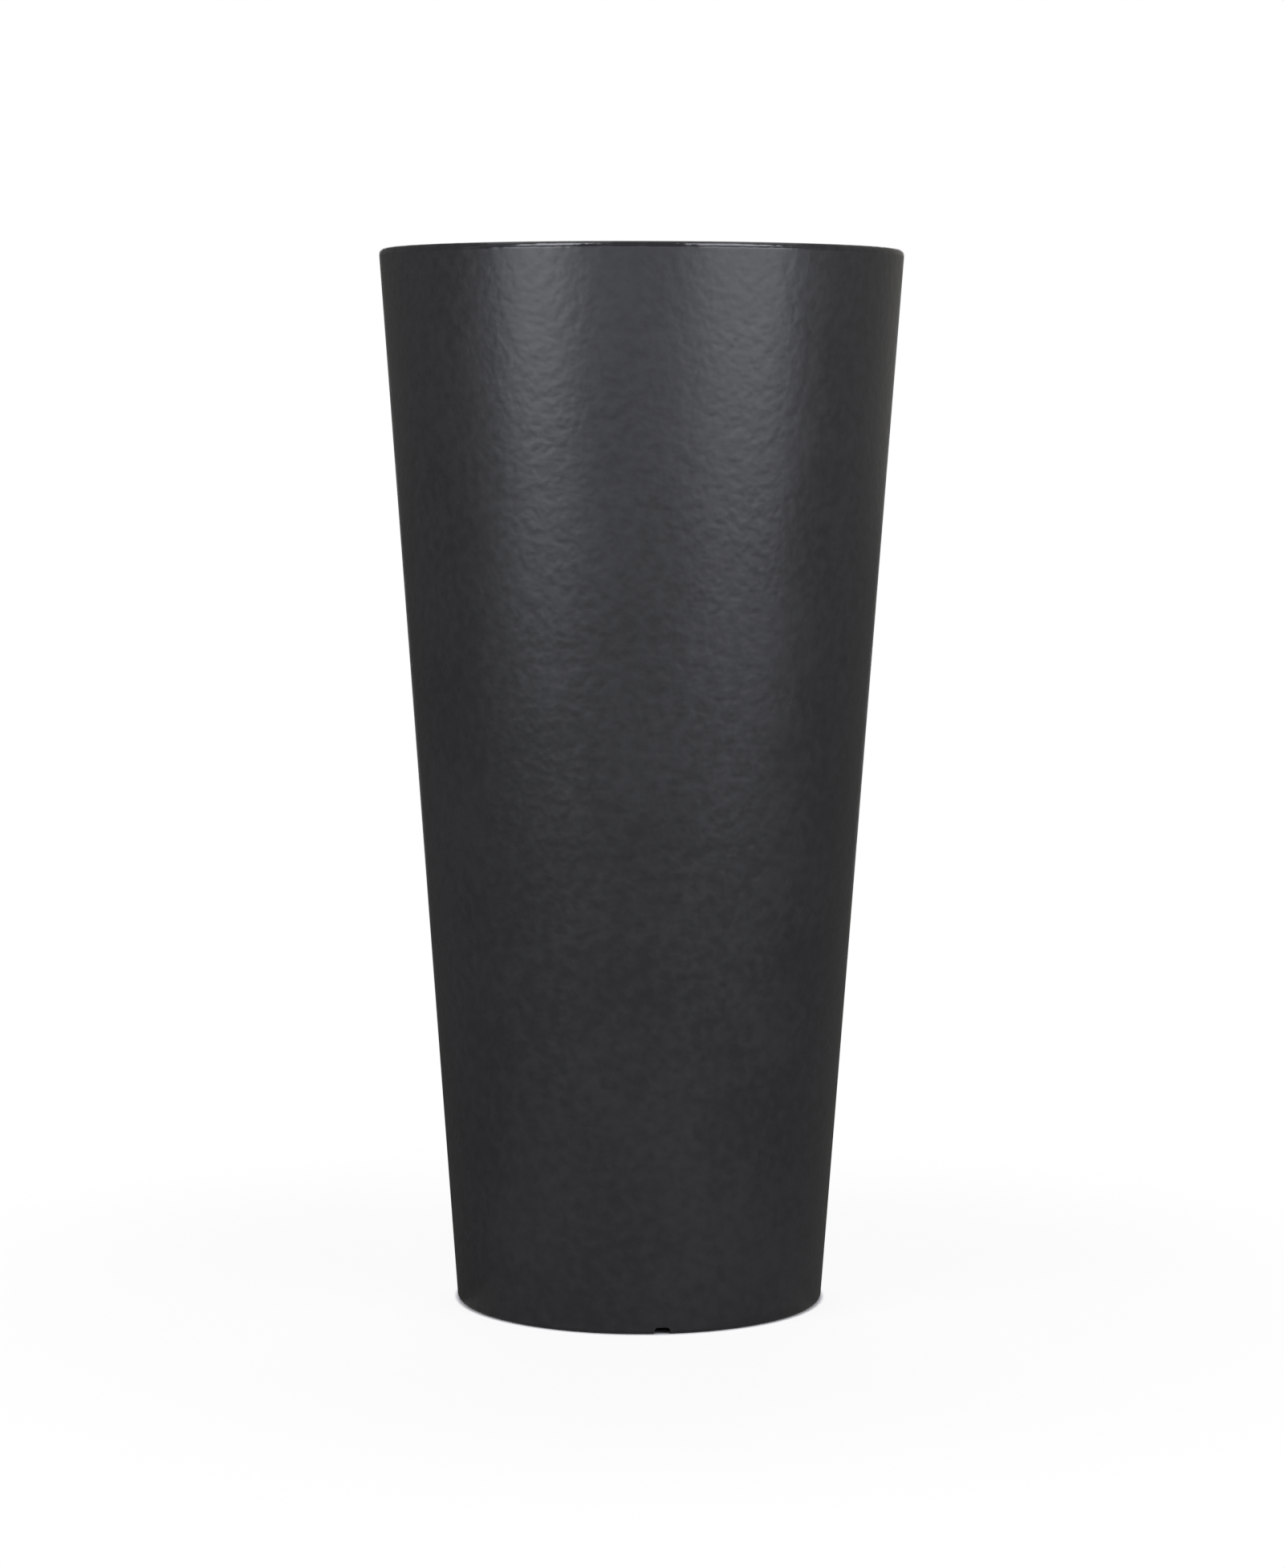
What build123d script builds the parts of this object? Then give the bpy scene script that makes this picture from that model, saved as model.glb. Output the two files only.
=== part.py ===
from build123d import *
import os
from math import asin, degrees

# Tall round tapered planter, in millimetres.
# Origin: centre of the foot, on the ground. +Z is up, and -Y faces the viewer.

# Driving dimensions of the outside
height = 762.0
rim_diameter = 377.0
base_diameter = 266.0
shell_wall = 4.5
rim_rounding = 3.8
foot_rounding = 3.2

# Return lip at the mouth, and the ledge that carries the insert
lip_width = 18.0
lip_depth = 22.0
lip_draft = 1.0
lip_corner_rounding = 1.5
ledge_width = 12.0

# Foot ring and recessed floor
foot_land_width = 20.0
foot_draft = 3.0
floor_edge_height = 16.0
floor_fall = 3.0
floor_corner_rounding = 8.0

# Drain notches in the foot ring, each a tunnel with its own moulded cover
notch_count = 3
notch_width = 11.0
notch_height = 5.0
notch_rounding = 2.4
notch_first_angle = -82.9

# Drain hole with its collar under the floor
drain_radius = 11.0
collar_wall = 4.0
collar_depth = 5.0

# Lift-out planting insert
insert_wall = 3.0
insert_depth = 325.0
seat_gap = 0.3
flange_radius = 168.0
neck_radius = 154.5
shoulder_radius = 149.5
shoulder_drop = 34.0
shoulder_height = 5.0
shoulder_rounding = 2.0
neck_rounding = 1.0
insert_base_radius = 128.0
insert_floor_rounding = 12.0
floor_rib_count = 6
floor_rib_height = 8.0
floor_rib_width = 4.0
floor_rib_inner = 30.0
floor_rib_outer = 112.0
insert_centre_hole_radius = 8.0
insert_slot_count = 12
insert_slot_span = (60.0, 90.0)
insert_slot_width = 3.5

# Swing handles on the insert's flange
handle_arc_radius = 160.0
handle_width = 8.0
handle_thickness = 7.0
handle_edge_rounding = 2.0
pivot_x = 128.0
pivot_rise = 5.3
eye_radius = 5.0
eye_thickness = 6.0
eye_inner_y = 90.0
eye_reach = 7.0
ear_gap = 0.4
ear_thickness = 4.0
ear_radius = 5.5
pin_radius = 2.5
pin_hole_radius = 2.55
pin_head_radius = 4.5
pin_head_thickness = 2.5
pin_head_chamfer = 0.8
pin_end_recess = 0.5

# Drainage grid
grid_radius = 124.0
grid_thickness = 2.5
grid_rim_depth = 6.0
grid_rim_wall = 2.5
grid_stand = 24.0
leg_radius = 6.0
leg_circle = 60.0
leg_count = 6
finger_hole_radius = 12.0
grid_slot_width = 3.5
inner_slot_count = 12
inner_slot_span = (22.0, 48.0)
outer_slot_count = 24
outer_slot_span = (72.0, 112.0)

# Rubber drain plug
plug_clearance = 0.3
plug_taper = 1.2
plug_length = 11.0
plug_flange_radius = 17.0
plug_flange_thickness = 3.0
plug_tab_width = 16.0
plug_tab_height = 15.0
plug_tab_thickness = 4.0
plug_tab_hole_radius = 3.5

# Levels and radii that follow from the driving dimensions
rim_radius = rim_diameter / 2
base_radius = base_diameter / 2
mouth_radius = rim_radius - lip_width
ledge_height = height - lip_depth
ledge_tip_radius = mouth_radius - lip_draft - ledge_width
floor_low = floor_edge_height - floor_fall
flange_low = ledge_height + seat_gap
flange_top = flange_low + insert_wall
insert_base = flange_low - insert_depth
insert_floor_top = insert_base + insert_wall
pivot_height = flange_top + pivot_rise
eye_outer_y = eye_inner_y + eye_thickness
ear_inner_y = eye_outer_y + ear_gap
ear_outer_y = ear_inner_y + ear_thickness
sides = {"left": -1, "right": 1}
ends = {"front": -1, "back": 1}


def moulded_wall(outline, roundings, thickness):
    """Revolve a wall of even thickness that lies to the left of an outline of (radius, height) points."""
    face_line = FilletPolyline(*outline, radius=roundings)
    section = make_face(offset(face_line, thickness, side=Side.LEFT).edges())
    return revolve(Plane.XZ * section, Axis.Z)


def tube(outer, inner, low, high):
    """Upright round tube between two levels."""
    wall = Circle(outer) - Circle(inner)
    return extrude(Pos(0, 0, low) * wall, high - low)


def notch_cover(angle):
    """Moulded cover over one drain notch, inside the hollow of the foot ring."""
    mid_radius = base_radius - foot_land_width / 2
    depth = foot_land_width - shell_wall
    width = notch_width + 2 * shell_wall
    low = shell_wall / 2
    cover = Box(depth, width, notch_height + shell_wall - low, align=(Align.CENTER, Align.CENTER, Align.MIN))
    cover = fillet(cover.edges().filter_by(Axis.X).group_by(Axis.Z)[-1], shell_wall)
    return Rot(0, 0, angle) * Pos(mid_radius, 0, low) * cover


def notch_tunnel(angle):
    """Arched cut through the foot ring for one drain notch."""
    arch = Rectangle(notch_width, 2 * notch_height)
    arch = fillet(arch.vertices(), notch_rounding)
    start = base_radius - 2 * foot_land_width
    tunnel = extrude(Plane.YZ * arch, 3 * foot_land_width)
    return Rot(0, 0, angle) * Pos(start, 0, 0) * tunnel


def make_outer_shell():
    """Tapered shell moulded in one piece, from the drain hole round the foot and rim to the ledge."""
    outline = [
        (drain_radius, floor_low),
        (base_radius - foot_land_width - foot_draft, floor_edge_height),
        (base_radius - foot_land_width, 0),
        (base_radius, 0),
        (rim_radius, height),
        (mouth_radius, height),
        (mouth_radius - lip_draft, ledge_height),
        (ledge_tip_radius, ledge_height),
    ]
    roundings = [
        floor_corner_rounding,
        foot_rounding,
        foot_rounding,
        rim_rounding,
        rim_rounding,
        lip_corner_rounding,
    ]
    shell = moulded_wall(outline, roundings, shell_wall)
    collar_top = floor_low + shell_wall / 2
    shell += tube(drain_radius + collar_wall, drain_radius, floor_low - collar_depth, collar_top)
    angles = [notch_first_angle + 360 / notch_count * step for step in range(notch_count)]
    for angle in angles:
        shell += notch_cover(angle)
    for angle in angles:
        shell -= notch_tunnel(angle)
    return shell


def radial_slots(count, span, width):
    """Ring of slots that run outwards from the centre."""
    length = span[1] - span[0]
    slot = Pos(sum(span) / 2, 0) * Rectangle(length, width)
    return [Rot(0, 0, 360 / count * (step + 0.5)) * slot for step in range(count)]


def floor_rib(angle):
    """Rib under the insert's floor that it stands on when it is lifted out."""
    length = floor_rib_outer - floor_rib_inner
    rib = Box(length, floor_rib_width, floor_rib_height + insert_wall / 2)
    middle = (floor_rib_inner + floor_rib_outer) / 2
    level = insert_base - floor_rib_height / 2 + insert_wall / 4
    return Rot(0, 0, angle) * Pos(middle, 0, level) * rib


def handle_ear(side, end):
    """Upright ear on the flange, bored for one pivot pin."""
    foot_level = flange_top - insert_wall / 2
    height = pivot_height - foot_level
    face = Pos(0, pivot_height) * Circle(ear_radius)
    face += Pos(0, foot_level + height / 2) * Rectangle(2 * ear_radius, height)
    face -= Pos(0, pivot_height) * Circle(pin_hole_radius)
    middle_y = end * (ear_inner_y + ear_outer_y) / 2
    return Pos(side * pivot_x, middle_y, 0) * extrude(Plane.XZ * face, ear_thickness / 2, both=True)


def make_planting_insert():
    """Thin moulded pot with a flange, a stacking shoulder, floor ribs and drain slots."""
    shoulder_low = flange_low - shoulder_drop - shoulder_height
    outline = [
        (insert_centre_hole_radius, insert_base),
        (insert_base_radius, insert_base),
        (shoulder_radius, shoulder_low),
        (neck_radius, shoulder_low + shoulder_height),
        (neck_radius, flange_low),
        (flange_radius, flange_low),
    ]
    roundings = [insert_floor_rounding, shoulder_rounding, shoulder_rounding, neck_rounding]
    pot = moulded_wall(outline, roundings, insert_wall)
    for step in range(floor_rib_count):
        pot += floor_rib(360 / floor_rib_count * step)
    slots = radial_slots(insert_slot_count, insert_slot_span, insert_slot_width)
    pot -= [extrude(Pos(0, 0, insert_base) * slot, 2 * insert_wall, both=True) for slot in slots]
    for side in sides.values():
        for end in ends.values():
            pot += handle_ear(side, end)
    return pot


def handle_eye(end):
    """End of the right handle, square at the top so that it stops against the flange."""
    heel = Circle(eye_radius)
    heel += Pos(-eye_radius / 2, eye_radius / 2) * Rectangle(eye_radius, eye_radius)
    arm_height = handle_thickness
    arm_low = seat_gap - pivot_rise
    heel += Pos(eye_reach / 2, arm_low + arm_height / 2) * Rectangle(eye_reach, arm_height)
    middle_y = end * (eye_inner_y + eye_outer_y) / 2
    eye = extrude(Plane.XZ * heel, eye_thickness / 2, both=True)
    return Pos(pivot_x, middle_y, pivot_height) * eye


def make_handle(side):
    """Curved handle that lies round the flange and swings up about the line through its pins."""
    half_angle = degrees(asin((eye_inner_y + eye_outer_y) / 2 / handle_arc_radius))
    outer = handle_arc_radius + handle_width / 2
    inner = handle_arc_radius - handle_width / 2
    section = RectangleRounded(handle_width, handle_thickness, handle_edge_rounding)
    bow = revolve(Plane.XZ * Pos(handle_arc_radius, 0) * section, Axis.Z, 2 * half_angle)
    middle_height = flange_top + seat_gap + handle_thickness / 2
    handle = Pos(0, 0, middle_height) * Rot(0, 0, -half_angle) * bow
    for end in ends.values():
        handle += handle_eye(end)
    pin_hole = extrude(Plane.XZ * Circle(pin_hole_radius), eye_outer_y, both=True)
    handle -= Pos(pivot_x, 0, pivot_height) * pin_hole
    return Rot(0, 0, 0 if side > 0 else 180) * handle


def make_pivot_pin(side, end):
    """Headed pin pressed through an ear from outside, with the handle's eye turning on it."""
    shank_length = ear_outer_y - eye_inner_y - pin_end_recess
    shank = extrude(Circle(pin_radius), shank_length)
    head = Pos(0, 0, -pin_head_thickness) * extrude(Circle(pin_head_radius), pin_head_thickness)
    head = chamfer(head.edges().group_by(Axis.Z)[0], pin_head_chamfer)
    pin = head + shank
    inward = Plane(origin=(side * pivot_x, end * ear_outer_y, pivot_height), z_dir=(0, -end, 0))
    return inward * pin


def make_drainage_grid():
    """Slotted plate on six hollow legs, with a rim bead and a hole to lift it by."""
    low = insert_floor_top + seat_gap
    plate_low = low + grid_stand
    plate = Circle(grid_radius) - Circle(finger_hole_radius)
    plate -= radial_slots(inner_slot_count, inner_slot_span, grid_slot_width)
    plate -= radial_slots(outer_slot_count, outer_slot_span, grid_slot_width)
    grid = extrude(Pos(0, 0, plate_low) * plate, grid_thickness)
    overlap = grid_thickness / 2
    grid += tube(grid_radius, grid_radius - grid_rim_wall, plate_low - grid_rim_depth, plate_low + overlap)
    collar_radius = finger_hole_radius + grid_rim_wall
    grid += tube(collar_radius, finger_hole_radius, plate_low - grid_rim_depth, plate_low + overlap)
    leg = tube(leg_radius, leg_radius - grid_rim_wall, low, plate_low + overlap)
    for step in range(leg_count):
        grid += Rot(0, 0, 360 / leg_count * step) * Pos(leg_circle, 0, 0) * leg
    return grid


def make_drain_plug():
    """Tapered rubber plug with a flange and a tab to pull it by."""
    seat = floor_low + shell_wall + seat_gap
    top_radius = drain_radius - plug_clearance
    shank_outline = Polyline(
        (0, seat - plug_length),
        (top_radius - plug_taper, seat - plug_length),
        (top_radius, seat),
        (plug_flange_radius, seat + floor_fall * plug_flange_radius / base_radius),
        (plug_flange_radius, seat + plug_flange_thickness),
        (0, seat + plug_flange_thickness),
        close=True,
    )
    plug = revolve(Plane.XZ * make_face(shank_outline), Axis.Z)
    tab = Rectangle(plug_tab_width, plug_tab_height)
    tab = fillet(tab.vertices().group_by(Axis.Y)[-1], plug_tab_width / 3)
    tab -= Pos(0, plug_tab_height / 6) * Circle(plug_tab_hole_radius)
    tab_middle = seat + plug_flange_thickness / 2 + plug_tab_height / 2
    plug += Pos(0, 0, tab_middle) * extrude(Plane.XZ * tab, plug_tab_thickness / 2, both=True)
    return plug


def save(solid, name):
    """Write one piece to its own file and print its size."""
    solid.label = name
    export_step(solid, f"parts/{name}.step")
    size = solid.bounding_box().size
    print(f"{name}: {len(solid.solids())} solid, {solid.volume / 1000:.1f} cm3, "
          f"{size.X:.1f} x {size.Y:.1f} x {size.Z:.1f} mm")


def main():
    """Build every piece and write it."""
    os.makedirs("parts", exist_ok=True)
    save(make_outer_shell(), "outer_shell")
    save(make_planting_insert(), "planting_insert")
    save(make_drainage_grid(), "drainage_grid")
    save(make_drain_plug(), "drain_plug")
    for side_name, side in sides.items():
        save(make_handle(side), f"{side_name}_handle")
        for end_name, end in ends.items():
            save(make_pivot_pin(side, end), f"{side_name}_handle_pin_{end_name}")


main()
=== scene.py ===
import logging
import math
from dataclasses import dataclass
from enum import Enum
from typing import ClassVar

import bmesh
import bpy
from mathutils import Euler, Matrix, Vector


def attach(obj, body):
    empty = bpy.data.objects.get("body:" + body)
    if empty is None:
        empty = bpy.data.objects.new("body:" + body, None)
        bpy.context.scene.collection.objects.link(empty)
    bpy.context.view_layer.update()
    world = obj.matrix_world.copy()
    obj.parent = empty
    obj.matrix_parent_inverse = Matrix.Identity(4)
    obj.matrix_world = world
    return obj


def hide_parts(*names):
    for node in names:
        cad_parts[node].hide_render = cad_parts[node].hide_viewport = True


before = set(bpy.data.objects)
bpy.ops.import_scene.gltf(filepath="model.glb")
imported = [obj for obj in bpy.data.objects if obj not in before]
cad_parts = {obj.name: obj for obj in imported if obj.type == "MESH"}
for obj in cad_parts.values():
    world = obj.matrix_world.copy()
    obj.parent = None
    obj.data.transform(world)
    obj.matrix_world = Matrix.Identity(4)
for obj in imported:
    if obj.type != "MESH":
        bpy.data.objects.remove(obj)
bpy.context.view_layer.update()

log = logging.getLogger("planter")

MM = 0.001
FULL_TURN = 2 * math.pi
SHARP_FROM = 32
NEAR_FULL = 0.98
AXIS_GAP = 0.02
BORE_STEPS = 32
COOL = (0.96, 0.985, 1.06)
QUARTER_TURN = Matrix.Rotation(math.pi / 2, 4, "X")


def linked(name: str, data: bpy.types.ID) -> bpy.types.Object:
    """Put a mesh, lamp or camera in the scene.

    Args:
        name: the new object's name.
        data: what it shows.

    Returns:
        The object.
    """
    thing = bpy.data.objects.new(name, data)
    bpy.context.scene.collection.objects.link(thing)
    return thing


# Sizes, in millimetres

@dataclass(frozen=True)
class ShellSizes:
    """Driving sizes of the outer shell, as the solid model has them."""

    height: float = 762.0
    rim_radius: float = 188.5
    base_radius: float = 133.0
    wall: float = 4.5
    rim_rounding: float = 3.8
    foot_rounding: float = 3.2
    lip_width: float = 18.0
    lip_depth: float = 22.0
    lip_draft: float = 1.0
    lip_corner_rounding: float = 1.5
    ledge_width: float = 12.0
    foot_land_width: float = 20.0
    foot_draft: float = 3.0
    floor_edge_height: float = 16.0
    floor_fall: float = 3.0
    floor_corner_rounding: float = 8.0
    notch_count: int = 3
    notch_width: float = 11.0
    notch_height: float = 5.0
    notch_rounding: float = 2.4
    notch_first_angle: float = -82.9
    drain_radius: float = 11.0
    collar_wall: float = 4.0
    collar_depth: float = 5.0

    @property
    def ledge_height(self) -> float:
        """Level of the ledge that carries the insert."""
        return self.height - self.lip_depth

    @property
    def floor_low(self) -> float:
        """Level of the floor's underside at the drain hole."""
        return self.floor_edge_height - self.floor_fall

    @property
    def mouth_radius(self) -> float:
        """Radius of the mouth at the top of the return lip."""
        return self.rim_radius - self.lip_width


@dataclass(frozen=True)
class InsertSizes:
    """Driving sizes of the planting insert and its ears."""

    wall: float = 3.0
    depth: float = 325.0
    seat_gap: float = 0.3
    flange_radius: float = 168.0
    neck_radius: float = 154.5
    shoulder_radius: float = 149.5
    shoulder_drop: float = 34.0
    shoulder_height: float = 5.0
    shoulder_rounding: float = 2.0
    neck_rounding: float = 1.0
    base_radius: float = 128.0
    floor_rounding: float = 12.0
    rib_count: int = 6
    rib_height: float = 8.0
    rib_width: float = 4.0
    rib_inner: float = 30.0
    rib_outer: float = 112.0
    centre_hole_radius: float = 8.0
    slot_count: int = 12
    slot_start: float = 60.0
    slot_end: float = 90.0
    slot_width: float = 3.5
    pivot_x: float = 128.0
    pivot_rise: float = 5.3
    ear_inner_y: float = 96.4
    ear_thickness: float = 4.0
    ear_radius: float = 5.5
    pin_hole_radius: float = 2.55


@dataclass(frozen=True)
class HandleSizes:
    """Driving sizes of one swing handle and its pins."""

    arc_radius: float = 160.0
    width: float = 8.0
    thickness: float = 7.0
    edge_rounding: float = 2.0
    eye_radius: float = 5.0
    eye_thickness: float = 6.0
    eye_inner_y: float = 90.0
    eye_reach: float = 7.0
    pin_radius: float = 2.5
    pin_head_radius: float = 4.5
    pin_head_thickness: float = 2.5
    pin_head_chamfer: float = 0.8
    pin_end_recess: float = 0.5


@dataclass(frozen=True)
class GridSizes:
    """Driving sizes of the drainage grid."""

    radius: float = 124.0
    thickness: float = 2.5
    rim_depth: float = 6.0
    rim_wall: float = 2.5
    stand: float = 24.0
    leg_radius: float = 6.0
    leg_circle: float = 60.0
    leg_count: int = 6
    finger_hole_radius: float = 12.0
    slot_width: float = 3.5
    inner_slot_count: int = 12
    inner_slot_start: float = 22.0
    inner_slot_end: float = 48.0
    outer_slot_count: int = 24
    outer_slot_start: float = 72.0
    outer_slot_end: float = 112.0


@dataclass(frozen=True)
class PlugSizes:
    """Driving sizes of the rubber drain plug."""

    clearance: float = 0.3
    taper: float = 1.2
    length: float = 11.0
    flange_radius: float = 17.0
    flange_thickness: float = 3.0
    tab_width: float = 16.0
    tab_height: float = 15.0
    tab_thickness: float = 4.0
    tab_hole_radius: float = 3.5


# Mesh making

@dataclass(frozen=True)
class Corner:
    """One corner of a section, at a radius (or an x) and a height, with its rounding."""

    across: float
    up: float
    rounding: float = 0.0


def beside(corners: list[Corner], wall: float) -> list[Corner]:
    """Corners of the line that runs at an even distance to the left of an open line of corners.

    Args:
        corners: the line's corners, in order.
        wall: distance to the left, in millimetres.

    Returns:
        The new line's corners, in the same order.
    """
    points = [Vector((c.across, c.up)) for c in corners]
    runs = [(b - a).normalized() for a, b in zip(points, points[1:])]
    lefts = [Vector((-run.y, run.x)) for run in runs]
    made = [Corner(*(points[0] + wall * lefts[0]))]
    for n in range(1, len(points) - 1):
        before, after = lefts[n - 1], lefts[n]
        middle = (before + after).normalized()
        point = points[n] + middle * (wall / middle.dot(after))
        turns_left = runs[n - 1].x * runs[n].y - runs[n - 1].y * runs[n].x > 0
        rounding = corners[n].rounding - wall if turns_left else corners[n].rounding + wall
        made.append(Corner(*point, max(rounding, 0.0)))
    made.append(Corner(*(points[-1] + wall * lefts[-1])))
    return made


def arch(half: float, low: float, high: float, rounding: float) -> list[Corner]:
    """Corners of an upright outline with a rounded top.

    Args:
        half: half of its width.
        low: level of its foot.
        high: level of its top.
        rounding: radius of its two top corners.

    Returns:
        The corners, from the left foot round to the left top.
    """
    tops = (Corner(across, high, rounding) for across in (half, -half))
    return [Corner(-half, low), Corner(half, low), *tops]


class Solid:
    """A closed mesh in the making, in millimetres."""

    ROUNDING_STEP = math.radians(13)
    SUPPORT = 0.5
    LEAST_SUPPORTED = 3.0
    MERGE = 1e-4
    AXIS_MERGE = 0.03

    def __init__(self) -> None:
        """Start with an empty mesh."""
        self.bm = bmesh.new()

    def _loop(
        self, corners: list[Corner], plane: Matrix, supported: bool
    ) -> list[bmesh.types.BMEdge]:
        """Draw a closed loop of rounded corners.

        Args:
            corners: the loop's corners, in order.
            plane: takes (across, up, 0) to its place.
            supported: add points close to the ends of long runs, so that they shade flat.

        Returns:
            The loop's edges.
        """
        verts = [self.bm.verts.new((c.across, c.up, 0)) for c in corners]
        for a, b in zip(verts, verts[1:] + verts[:1]):
            self.bm.edges.new((a, b))
        count = len(corners)
        for n, corner in enumerate(corners):
            if corner.rounding <= 0:
                continue
            before, here, after = (
                Vector((c.across, c.up)) for c in (corners[n - 1], corner, corners[(n + 1) % count])
            )
            turn = (here - before).angle(after - here)
            bmesh.ops.bevel(
                self.bm,
                geom=[verts[n]],
                offset=corner.rounding * math.tan(turn / 2),
                offset_type="OFFSET",
                segments=max(2, round(turn / self.ROUNDING_STEP)),
                profile=0.5,
                affect="VERTICES",
                material=-1,
            )
        if supported:
            self._support_long_runs()
        bmesh.ops.transform(self.bm, matrix=plane, verts=self.bm.verts[:])
        return self.bm.edges[:]

    def _support_long_runs(self) -> None:
        """Put a point close to each end of every long run of the loop."""
        for edge in self.bm.edges[:]:
            length = edge.calc_length()
            if length < self.LEAST_SUPPORTED:
                continue
            near, far = edge.verts
            _, middle = bmesh.utils.edge_split(edge, near, self.SUPPORT / length)
            rest = next(e for e in middle.link_edges if far in e.verts)
            bmesh.utils.edge_split(rest, far, self.SUPPORT / rest.calc_length())

    @classmethod
    def turned(cls, corners: list[Corner], steps: int, angle: float = FULL_TURN) -> "Solid":
        """Turn a closed section round the Z axis.

        Args:
            corners: the section's corners as (radius, height).
            steps: number of steps of the turn.
            angle: angle of the turn; the ends of a part turn are closed.

        Returns:
            The turned solid.
        """
        solid = cls()
        whole = math.isclose(angle, FULL_TURN)
        edges = solid._loop(corners, QUARTER_TURN, supported=True)
        if not whole:
            bmesh.ops.contextual_create(solid.bm, geom=edges)
        geom = solid.bm.verts[:] + solid.bm.edges[:] + solid.bm.faces[:]
        bmesh.ops.spin(
            solid.bm,
            geom=geom,
            cent=(0, 0, 0),
            axis=(0, 0, 1),
            angle=angle,
            steps=steps,
            use_merge=whole,
        )
        return solid.closed()

    @classmethod
    def prism(cls, corners: list[Corner], depth: float, plane: Matrix) -> "Solid":
        """Push a rounded outline along its plane's normal.

        Args:
            corners: the outline's corners.
            depth: thickness, half of it on each side of the plane.
            plane: takes (across, up, 0) to its place.

        Returns:
            The prism.
        """
        solid = cls()
        edges = solid._loop(corners, Matrix.Translation((0, 0, -depth / 2)), supported=False)
        face = bmesh.ops.contextual_create(solid.bm, geom=edges)["faces"][0]
        pushed = bmesh.ops.extrude_face_region(solid.bm, geom=[face])["geom"]
        moved = [v for v in pushed if isinstance(v, bmesh.types.BMVert)]
        bmesh.ops.translate(solid.bm, verts=moved, vec=(0, 0, depth))
        bmesh.ops.transform(solid.bm, matrix=plane, verts=solid.bm.verts[:])
        return solid.closed()

    @classmethod
    def block(cls, size: tuple[float, float, float], middle: tuple[float, float, float]) -> "Solid":
        """Make a rectangular block.

        Args:
            size: its length along X, Y and Z.
            middle: its middle.

        Returns:
            The block.
        """
        solid = cls()
        place = Matrix.Translation(middle) @ Matrix.Diagonal((*size, 1))
        bmesh.ops.create_cube(solid.bm, size=1.0, matrix=place)
        return solid.closed()

    @classmethod
    def rod(cls, radius: float, low: float, high: float, steps: int) -> "Solid":
        """Make an upright round rod on the Z axis.

        Args:
            radius: its radius.
            low: level of its lower end.
            high: level of its upper end.
            steps: number of its sides.

        Returns:
            The rod.
        """
        solid = cls()
        bmesh.ops.create_cone(
            solid.bm,
            cap_ends=True,
            segments=steps,
            radius1=radius,
            radius2=radius,
            depth=high - low,
            matrix=Matrix.Translation((0, 0, (low + high) / 2)),
        )
        return solid.closed()

    @classmethod
    def tube(cls, outer: float, inner: float, low: float, high: float, steps: int) -> "Solid":
        """Make an upright round tube on the Z axis.

        Args:
            outer: outer radius.
            inner: inner radius.
            low: level of its lower end.
            high: level of its upper end.
            steps: number of its sides.

        Returns:
            The tube.
        """
        corners = [Corner(inner, low), Corner(outer, low), Corner(outer, high), Corner(inner, high)]
        return cls.turned(corners, steps)

    def closed(self) -> "Solid":
        """Merge doubled points and turn every face outwards.

        Returns:
            This solid.
        """
        bmesh.ops.remove_doubles(self.bm, verts=self.bm.verts[:], dist=self.MERGE)
        bmesh.ops.recalc_face_normals(self.bm, faces=self.bm.faces[:])
        return self

    def capped(self) -> "Solid":
        """Close the pinhole that a turned section leaves on the axis.

        Returns:
            This solid.
        """
        bmesh.ops.remove_doubles(self.bm, verts=self.bm.verts[:], dist=self.AXIS_MERGE)
        bmesh.ops.holes_fill(self.bm, edges=self.bm.edges[:])
        return self.closed()

    def placed(self, matrix: Matrix) -> "Solid":
        """Move the solid by a matrix."""
        bmesh.ops.transform(self.bm, matrix=matrix, verts=self.bm.verts[:])
        return self

    def ring(self, count: int, first_angle: float) -> "Solid":
        """Repeat the solid round the Z axis.

        Args:
            count: number of copies in a full turn.
            first_angle: angle of the first, in degrees.

        Returns:
            A solid that holds all of them.
        """
        made = Solid()
        mesh = bpy.data.meshes.new("copy")
        self.bm.to_mesh(mesh)
        for step in range(count):
            before = len(made.bm.verts)
            made.bm.from_mesh(mesh)
            made.bm.verts.ensure_lookup_table()
            turn = Matrix.Rotation(math.radians(first_angle) + FULL_TURN * step / count, 4, "Z")
            bmesh.ops.transform(made.bm, matrix=turn, verts=made.bm.verts[before:])
        bpy.data.meshes.remove(mesh)
        return made

    def _to_object(self) -> bpy.types.Object:
        """Put the mesh in a new object of the scene.

        Returns:
            The object.
        """
        mesh = bpy.data.meshes.new("part")
        self.bm.to_mesh(mesh)
        return linked("part", mesh)

    def _combined(self, other: "Solid", operation: str) -> "Solid":
        """Join or cut with another solid, which may hold parts that don't touch.

        Args:
            other: the other solid.
            operation: UNION or DIFFERENCE.

        Returns:
            This solid, changed.
        """
        thing, tool = self._to_object(), other._to_object()
        change = thing.modifiers.new("change", "BOOLEAN")
        change.operation, change.object, change.solver = operation, tool, "EXACT"
        graph = bpy.context.evaluated_depsgraph_get()
        result = bpy.data.meshes.new_from_object(thing.evaluated_get(graph))
        self.bm.clear()
        self.bm.from_mesh(result)
        for used in (thing, tool):
            mesh = used.data
            bpy.data.objects.remove(used)
            bpy.data.meshes.remove(mesh)
        bpy.data.meshes.remove(result)
        return self

    def join(self, other: "Solid") -> "Solid":
        """Add another solid to this one."""
        return self._combined(other, "UNION")

    def cut(self, other: "Solid") -> "Solid":
        """Take another solid away from this one."""
        return self._combined(other, "DIFFERENCE")

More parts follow.
